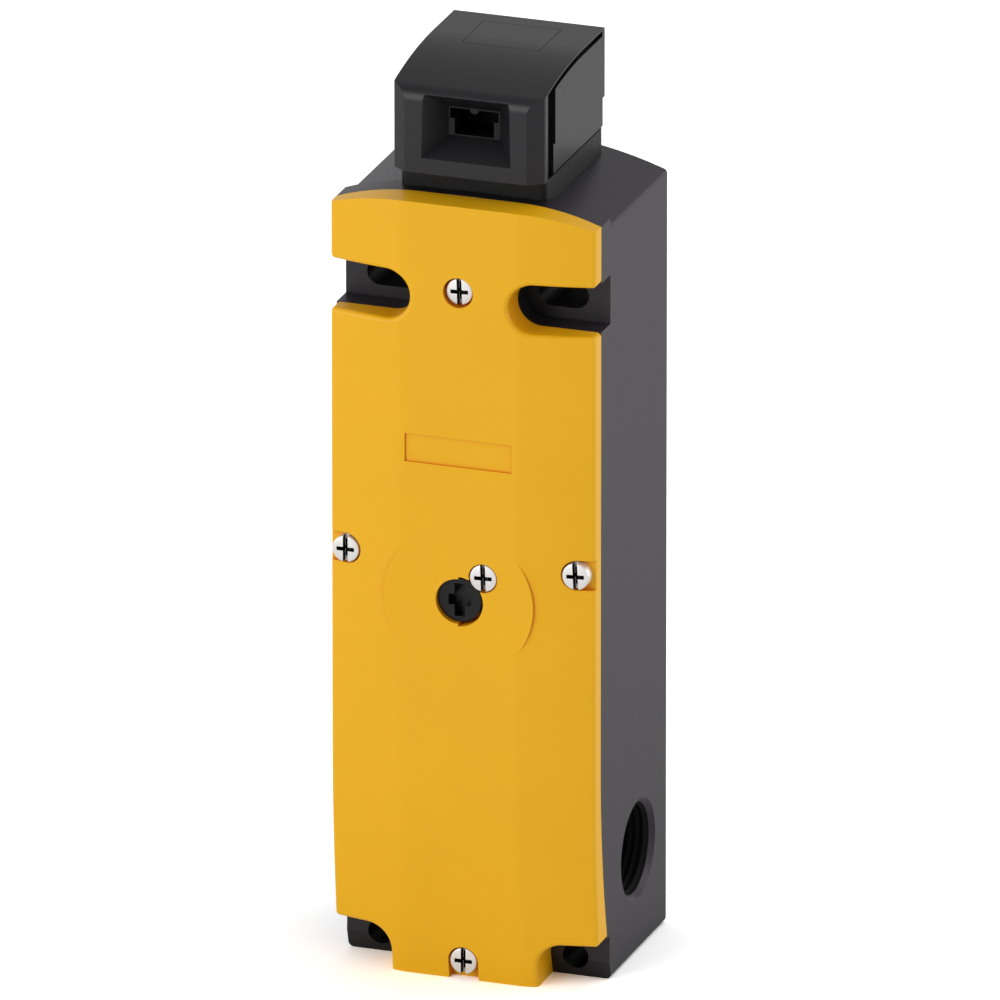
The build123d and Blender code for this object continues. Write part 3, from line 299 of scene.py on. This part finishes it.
def apply_modifiers(piece):
    bpy.context.view_layer.objects.active = piece
    for modifier in list(piece.modifiers):
        bpy.ops.object.modifier_apply(modifier=modifier.name)


def select_faces(piece, chosen):
    # Faces are chosen in object mode, and the selection is kept when edit mode starts.
    bpy.context.view_layer.objects.active = piece
    bpy.ops.object.mode_set(mode="EDIT")
    bpy.ops.mesh.select_mode(type="FACE")
    bpy.ops.mesh.select_all(action="DESELECT")
    bpy.ops.object.mode_set(mode="OBJECT")
    for face in piece.data.polygons:
        face.select = chosen(face)
    bpy.ops.object.mode_set(mode="EDIT")


def finish_piece(piece, name, material, body):
    bpy.context.view_layer.update()
    piece.select_set(True)
    bpy.context.view_layer.objects.active = piece
    bpy.ops.object.transform_apply(location=True, rotation=True, scale=True)
    bpy.ops.object.mode_set(mode="EDIT")
    bpy.ops.mesh.select_all(action="SELECT")
    bpy.ops.mesh.remove_doubles(threshold=MERGE_DISTANCE)
    bpy.ops.mesh.normals_make_consistent(inside=False)
    bpy.ops.object.mode_set(mode="OBJECT")
    bpy.ops.object.shade_smooth_by_angle(angle=SMOOTH_ANGLE)
    piece.name = name
    piece.data.name = name
    if not piece.data.materials:
        piece.data.materials.append(material)
    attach(piece, body)
    return piece


# %% [markdown]
# The cover screws have a flat cheese head with a slot and a cross in one recess, so that either driver
# fits. Three bars cut that recess, as the punch does: a long shallow one for the slot, and two short deep
# ones for the cross. The Boolean modifier hands the bars' materials to the faces that they leave: walls
# painted dark as shade, and a bright nickel floor in the slot, where the light falls in. The cross is
# painted dark as shade all over. An image of a recess would be quicker, but it would lie flat when the
# screw is seen from the side.

# %% Bars that cut the recess
FACING = 0.9


def cutter_bar(size, bright_floor=False):
    fresh_start()
    bpy.ops.mesh.primitive_cube_add(size=1)
    bar = bpy.context.object
    bar.scale = size
    bpy.ops.object.transform_apply(scale=True)
    # Painted shade: the bar leaves dark faces as the shade in the recess; with bright_floor the slot's floor
    # keeps the bright nickel.
    bar.data.materials.append(recess_painted_shade)
    bar.data.materials.append(bright_nickel)
    for face in bar.data.polygons:
        face.material_index = 1 if bright_floor and face.normal.z < -FACING else 0
    return bar


def cut_with(piece, cutter):
    modifier = piece.modifiers.new("cut", "BOOLEAN")
    modifier.object = cutter
    modifier.operation = "DIFFERENCE"
    modifier.solver = "EXACT"
    modifier.material_mode = "TRANSFER"
    apply_modifiers(piece)
    bpy.data.objects.remove(cutter)


# %% [markdown]
# The head starts as a cylinder whose top face gets a bevel for the soft rim of a cold formed head. Its
# bottom face is inset to the shank's width and pulled out by the length that goes into the housing.

# %% Screw head with its shank
HEAD_RADIUS = 2.7 * MM
HEAD_HEIGHT = 2.4 * MM
HEAD_SIDES = 48
RIM = 0.25 * MM
SHANK_RADIUS = 1.45 * MM
SLOT_WIDTH = 1.0 * MM
SLOT_DEPTH = 1.4 * MM
SLOT_REACH = 1.2
CROSS_LENGTH = 3.6 * MM
CROSS_WIDTH = 0.8 * MM
CROSS_DEPTH = 2.0 * MM


def screw_head(radius, grip):
    fresh_start()
    bpy.ops.mesh.primitive_cylinder_add(vertices=HEAD_SIDES, radius=radius, depth=HEAD_HEIGHT,
                                        location=(0, 0, -HEAD_HEIGHT / 2))
    head = bpy.context.object
    bpy.ops.object.transform_apply(location=True)
    select_faces(head, lambda face: face.normal.z > FACING)
    bpy.ops.mesh.bevel(offset=RIM, segments=3, affect="EDGES")
    select_faces(head, lambda face: face.normal.z < -FACING)
    bpy.ops.mesh.inset(thickness=radius - SHANK_RADIUS, depth=0)
    bpy.ops.mesh.extrude_region_move(TRANSFORM_OT_translate={"value": (0, 0, -grip)})
    bpy.ops.object.mode_set(mode="OBJECT")
    head.data.materials.append(bright_nickel)
    slot_length = 2 * SLOT_REACH * radius
    cut_with(head, cutter_bar((SLOT_WIDTH, slot_length, 2 * SLOT_DEPTH), bright_floor=True))
    cut_with(head, cutter_bar((CROSS_LENGTH, CROSS_WIDTH, 2 * CROSS_DEPTH)))
    cut_with(head, cutter_bar((CROSS_WIDTH, CROSS_LENGTH, 2 * CROSS_DEPTH)))
    return head


def place_screw(name, x, z, face_y, radius, grip, turn_degrees):
    # The head is modelled looking up, then laid on its back so that it faces the front.
    screw = screw_head(radius, grip)
    turn = Matrix.Rotation(math.radians(turn_degrees), 4, "Z")
    lay = Matrix.Rotation(math.radians(90), 4, "X")
    screw.matrix_world = Matrix.Translation((x, face_y, z)) @ lay @ turn
    finish_piece(screw, name, bright_nickel, "switch_body")
    return screw


# %% [markdown]
# Four screws hold the cover, and a fifth one seals the release disc. Their places are read from the boxes
# of the solids that they replace. A screw stops where its thread is tight, so each slot ends at its own
# angle.

# %% Place the screws
COVER_SCREW_GRIP = 6.4 * MM
SEALING_SCREW_GRIP = 4.9 * MM
SIDE_SCREW_HEIGHT = 86.9 * MM
TOP_SCREW_SINK = 0.8 * MM
SIDE_SCREW_SINK = 1.2 * MM
BOTTOM_SCREW_SINK = 2.9 * MM

screw_low, screw_high = corners_of("cover_screws")
side_x = screw_high.x - HEAD_RADIUS
bottom_z = screw_low.z + HEAD_RADIUS
top_z = screw_high.z - HEAD_RADIUS
# The last number of a screw is the angle in degrees at which its slot stopped.
screw_places = [
    ("top_cover_screw", 0, top_z, front_y + TOP_SCREW_SINK, 2),
    ("right_cover_screw", side_x, SIDE_SCREW_HEIGHT, front_y + SIDE_SCREW_SINK, 3),
    ("left_cover_screw", -side_x, SIDE_SCREW_HEIGHT, front_y + SIDE_SCREW_SINK, 0),
    ("bottom_cover_screw", 0, bottom_z, front_y + BOTTOM_SCREW_SINK, 0),
]
cover_screws = []
for screw_name, x, z, face_y, turn_degrees in screw_places:
    cover_screw = place_screw(screw_name, x, z, face_y, HEAD_RADIUS, COVER_SCREW_GRIP, turn_degrees)
    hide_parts("cover_screws")
    cover_screws.append(cover_screw)

seal_low, seal_high = corners_of("sealing_screw")
seal_centre = (seal_low + seal_high) / 2
seal_radius = (seal_high.x - seal_low.x) / 2
sealing_screw = place_screw("release_sealing_screw", seal_centre.x, seal_centre.z, seal_low.y, seal_radius,
                            SEALING_SCREW_GRIP, 2)
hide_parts("sealing_screw")
print("screws", [s.name for s in cover_screws], sealing_screw.name)

# %% [markdown]
# The cable entries have a metric fine thread with a pitch of 1.5 mm. A small wedge profile, wound along
# the bore by the Screw modifier, gives its ridges. Only they are modelled: they stand inwards from the
# bore of the solid, which is left as it is.

# %% Threads of the cable entries
THREAD_PITCH = 1.5 * MM
BORE_RADIUS = 9.2 * MM
RIDGE = 0.4 * MM
BITE = 0.02 * MM
THREAD_LENGTH = 6.6 * MM
THREAD_START = 1.7 * MM
THREAD_STEPS = 64
# The wedge's corners: inwards in ridges, along the bore in pitches.
RIDGE_CORNERS = ((0.03, -0.47), (0.03, 0.47), (-1.0, 0.12), (-1.0, -0.12))


def wind(profile, turns, rise, steps):
    winding = profile.modifiers.new("winding", "SCREW")
    winding.axis = "Z"
    winding.angle = 2 * math.pi * turns
    winding.screw_offset = rise
    winding.steps = steps
    winding.render_steps = steps
    winding.use_merge_vertices = False
    return winding


def close_ends(coil):
    bpy.context.view_layer.objects.active = coil
    bpy.ops.object.mode_set(mode="EDIT")
    bpy.ops.mesh.select_mode(type="EDGE")
    bpy.ops.mesh.select_all(action="DESELECT")
    bpy.ops.mesh.select_non_manifold()
    bpy.ops.mesh.fill()
    bpy.ops.object.mode_set(mode="OBJECT")


def entry_thread(name, mouth, outward):
    fresh_start()
    bpy.ops.mesh.primitive_circle_add(vertices=4, radius=THREAD_PITCH / 2, fill_type="NOTHING")
    ridge = bpy.context.object
    for vertex, (inward, along) in zip(ridge.data.vertices, RIDGE_CORNERS):
        vertex.co = (BORE_RADIUS - BITE + inward * RIDGE, 0, along * THREAD_PITCH)
    winding = wind(ridge, 1, THREAD_PITCH, THREAD_STEPS)
    winding.iterations = int(THREAD_LENGTH / THREAD_PITCH)
    apply_modifiers(ridge)
    close_ends(ridge)
    outward = Vector(outward)
    turn = Vector((0, 0, -1)).rotation_difference(outward).to_matrix().to_4x4()
    ridge.matrix_world = Matrix.Translation(Vector(mouth) - outward * THREAD_START) @ turn
    # The threads carry the near black painted shade of the entry bore.
    finish_piece(ridge, name, thread_painted_shade, "switch_body")
    return ridge


ENTRY_DEPTH = 17.0 * MM
ENTRY_HEIGHT = 21.3 * MM
entry_y = housing_high.y - ENTRY_DEPTH
threads = [
    entry_thread("right_entry_thread", (half_width, entry_y, ENTRY_HEIGHT), (1, 0, 0)),
    entry_thread("left_entry_thread", (-half_width, entry_y, ENTRY_HEIGHT), (-1, 0, 0)),
    entry_thread("bottom_entry_thread", (0, entry_y, housing_low.z), (0, 0, -1)),
]
print("threads", [(t.name, len(t.data.polygons)) for t in threads])

# %% [markdown]
# Two compression springs push the train under the head up and the lock pin down. A spring is a round wire
# wound on a helix, and the ends of this kind are ground flat. The wire's section is a circle, the Screw
# modifier winds it, and pressing the coil together near its seats gives the ground ends. A real spring
# shortens as its slide moves; each spring here keeps the length of its solid, and gets a mesh of its own.

# %% Compression springs
WIRE_SIDES = 12
STEPS_PER_TURN = 32
END_PRESS = 0.45
PUSH_WIRE = 0.7 * MM
PUSH_TURNS = 3.5
LOCK_WIRE = 0.6 * MM
LOCK_TURNS = 4.5


def ground_ends(share):
    # The pitch is smaller at both ends than in the middle, and the ends stay where they are.
    return share - END_PRESS * math.sin(2 * math.pi * share) / (2 * math.pi)


def compression_spring(name, node, wire_size, turns):
    low, high = corners_of(node)
    centre = (low + high) / 2
    length = high.z - low.z
    wire_radius = wire_size / 2
    coil_radius = (high.x - low.x) / 2 - wire_radius
    fresh_start()
    bpy.ops.mesh.primitive_circle_add(vertices=WIRE_SIDES, radius=wire_radius, location=(coil_radius, 0, 0),
                                      rotation=(math.radians(90), 0, 0), fill_type="NOTHING")
    spring = bpy.context.object
    bpy.ops.object.transform_apply(location=True, rotation=True, scale=True)
    wind(spring, turns, length - wire_size, int(STEPS_PER_TURN * turns))
    apply_modifiers(spring)
    close_ends(spring)
    for vertex in spring.data.vertices:
        vertex.co.z = ground_ends((vertex.co.z + wire_radius) / length) * length
    spring.location = (centre.x, centre.y, low.z)
    finish_piece(spring, name, zinc_steel, "switch_body")
    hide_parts(node)
    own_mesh(spring)
    return spring


springs = [
    compression_spring("push_return_spring", "push_spring", PUSH_WIRE, PUSH_TURNS),
    compression_spring("lock_closing_spring", "lock_spring", LOCK_WIRE, LOCK_TURNS),
]
print("springs", [(s.name, len(s.data.polygons)) for s in springs])

# %% [markdown]
# The photograph's verticals stay parallel, so it was taken from far away. A long lens at six metres gives
# the same view, and its focal length follows from the height of the frame at the object.

# %% Camera
FRAME_HEIGHT = 193.5 * MM
CAMERA_DISTANCE = 6.0
SENSOR_MM = 36
VIEW_LIMIT = 30
AZIMUTH = math.radians(19.25)
ELEVATION = math.radians(20.37)
AIM = Vector((0.62, 0.0, 92.4)) * MM


def direction_to(azimuth, elevation):
    # Azimuth counts from the front towards the right side, elevation from level upwards.
    level = math.cos(elevation)
    return Vector((math.sin(azimuth) * level, -math.cos(azimuth) * level, math.sin(elevation)))


def aim_from(thing, direction, distance):
    bpy.context.scene.collection.objects.link(thing)
    thing.location = AIM + direction * distance
    thing.rotation_euler = direction.to_track_quat("Z", "Y").to_euler()


camera_data = bpy.data.cameras.new("product_camera")
camera_data.sensor_width = SENSOR_MM
camera_data.lens = SENSOR_MM * CAMERA_DISTANCE / FRAME_HEIGHT
camera_data.clip_end = VIEW_LIMIT
camera = bpy.data.objects.new("product_camera", camera_data)
aim_from(camera, direction_to(AZIMUTH, ELEVATION), CAMERA_DISTANCE)
bpy.context.scene.camera = camera
print("lens", round(camera_data.lens), "mm")

# %% [markdown]
# The floor is plain and pale. A floor that is lit to a clean white would light the switch from below as
# well, so the two are kept apart: rays from the camera see a very pale floor, and the light that it gives
# back to the switch is that of a floor of 80 percent. What the plastic mirrors of it is a little brighter
# behind the switch than in front, as in a studio whose paper sweeps up at the back.

# %% Floor
FLOOR_SIZE = 6.0
FLOOR_SEEN = 1.75
FLOOR_LIT = 0.8
FLOOR_IN_FRONT = 0.8
FLOOR_BEHIND = 0.86
FLOOR_FADE = 0.15

fresh_start()
bpy.ops.mesh.primitive_plane_add(size=FLOOR_SIZE)
floor = bpy.context.object
floor.name = "pale_floor"
floor_material, floor_tree = new_material("pale_studio_floor")
floor_rays = add_node(floor_tree, "ShaderNodeLightPath").outputs
floor_place = add_node(floor_tree, "ShaderNodeTexCoord").outputs["Object"]
floor_across = add_node(floor_tree, "ShaderNodeSeparateXYZ", None, {"Vector": floor_place}).outputs["Y"]
mirrored_floor = add_node(floor_tree, "ShaderNodeMapRange", None,
                          {"Value": floor_across, "From Min": -FLOOR_FADE, "From Max": FLOOR_FADE,
                           "To Min": FLOOR_IN_FRONT, "To Max": FLOOR_BEHIND}).outputs["Result"]
floor_light = add_node(floor_tree, "ShaderNodeMix", {"data_type": "FLOAT"},
                       {"Factor": floor_rays["Is Glossy Ray"], "A": FLOOR_LIT,
                        "B": mirrored_floor}).outputs["Result"]
floor_colour = add_node(floor_tree, "ShaderNodeMix", {"data_type": "FLOAT"},
                        {"Factor": floor_rays["Is Camera Ray"], "A": floor_light,
                         "B": FLOOR_SEEN}).outputs["Result"]
floor_shader = add_node(floor_tree, "ShaderNodeBsdfDiffuse", None, {"Color": floor_colour})
add_node(floor_tree, "ShaderNodeOutputMaterial", None, {"Surface": floor_shader.outputs["BSDF"]})
floor.data.materials.append(floor_material)
print("floor", FLOOR_SIZE, "m wide, seen at", FLOOR_SEEN)

# %% [markdown]
# The world is white to the camera and half as bright as a light. What the plastic mirrors of it is white
# low down and darker from about 12 degrees upwards, because a studio has its bright walls around the
# object and a dark ceiling. That is why the sides of the switch look lighter than its top.

# %% World
WORLD_LIGHT = 0.5
WORLD_SEEN = 1.0
SKY_LOW = 1.0
SKY_HIGH = 0.4
FADE_FROM = 0.2
FADE_TO = 0.4

world = bpy.data.worlds.new("studio_world")
world.use_nodes = True
world_tree = world.node_tree
world_tree.nodes.clear()
sky_rays = add_node(world_tree, "ShaderNodeLightPath").outputs
sky_place = add_node(world_tree, "ShaderNodeTexCoord").outputs["Generated"]
sky_height = add_node(world_tree, "ShaderNodeSeparateXYZ", None, {"Vector": sky_place}).outputs["Z"]
mirrored_sky = add_node(world_tree, "ShaderNodeMapRange", None,
                        {"Value": sky_height, "From Min": FADE_FROM, "From Max": FADE_TO,
                         "To Min": SKY_LOW, "To Max": SKY_HIGH}).outputs["Result"]
sky_light = add_node(world_tree, "ShaderNodeMix", {"data_type": "FLOAT"},
                     {"Factor": sky_rays["Is Glossy Ray"], "A": WORLD_LIGHT,
                      "B": mirrored_sky}).outputs["Result"]
sky_strength = add_node(world_tree, "ShaderNodeMix", {"data_type": "FLOAT"},
                        {"Factor": sky_rays["Is Camera Ray"], "A": sky_light,
                         "B": WORLD_SEEN}).outputs["Result"]
sky = add_node(world_tree, "ShaderNodeBackground", None,
               {"Color": linear("#ffffff"), "Strength": sky_strength})
add_node(world_tree, "ShaderNodeOutputWorld", None, {"Surface": sky.outputs["Background"]})
bpy.context.scene.world = world
print("world light", WORLD_LIGHT, "seen at", WORLD_SEEN)

# %% [markdown]
# Three large soft lamps model the form. The strongest stands at the front left and lights the yellow
# cover, the next one far to the right keeps the right side readable, and a weak one high behind the
# switch draws the top of the head off the background.

# %% Lamps
def soft_lamp(name, azimuth, elevation, distance, size, power):
    lamp_data = bpy.data.lights.new(name, "AREA")
    lamp_data.shape = "SQUARE"
    lamp_data.size = size
    lamp_data.energy = power
    lamp = bpy.data.objects.new(name, lamp_data)
    aim_from(lamp, direction_to(math.radians(azimuth), math.radians(elevation)), distance)
    return lamp


lamps = [
    soft_lamp("right_softbox", azimuth=112, elevation=12, distance=0.9, size=0.7, power=3.6),
    soft_lamp("front_left_softbox", azimuth=-34, elevation=18, distance=1.1, size=0.8, power=5.6),
    soft_lamp("top_softbox", azimuth=150, elevation=70, distance=1.2, size=0.7, power=2.0),
]
bpy.context.scene.view_settings.view_transform = "Standard"
print("lamps", [(lamp.name, lamp.data.energy) for lamp in lamps])
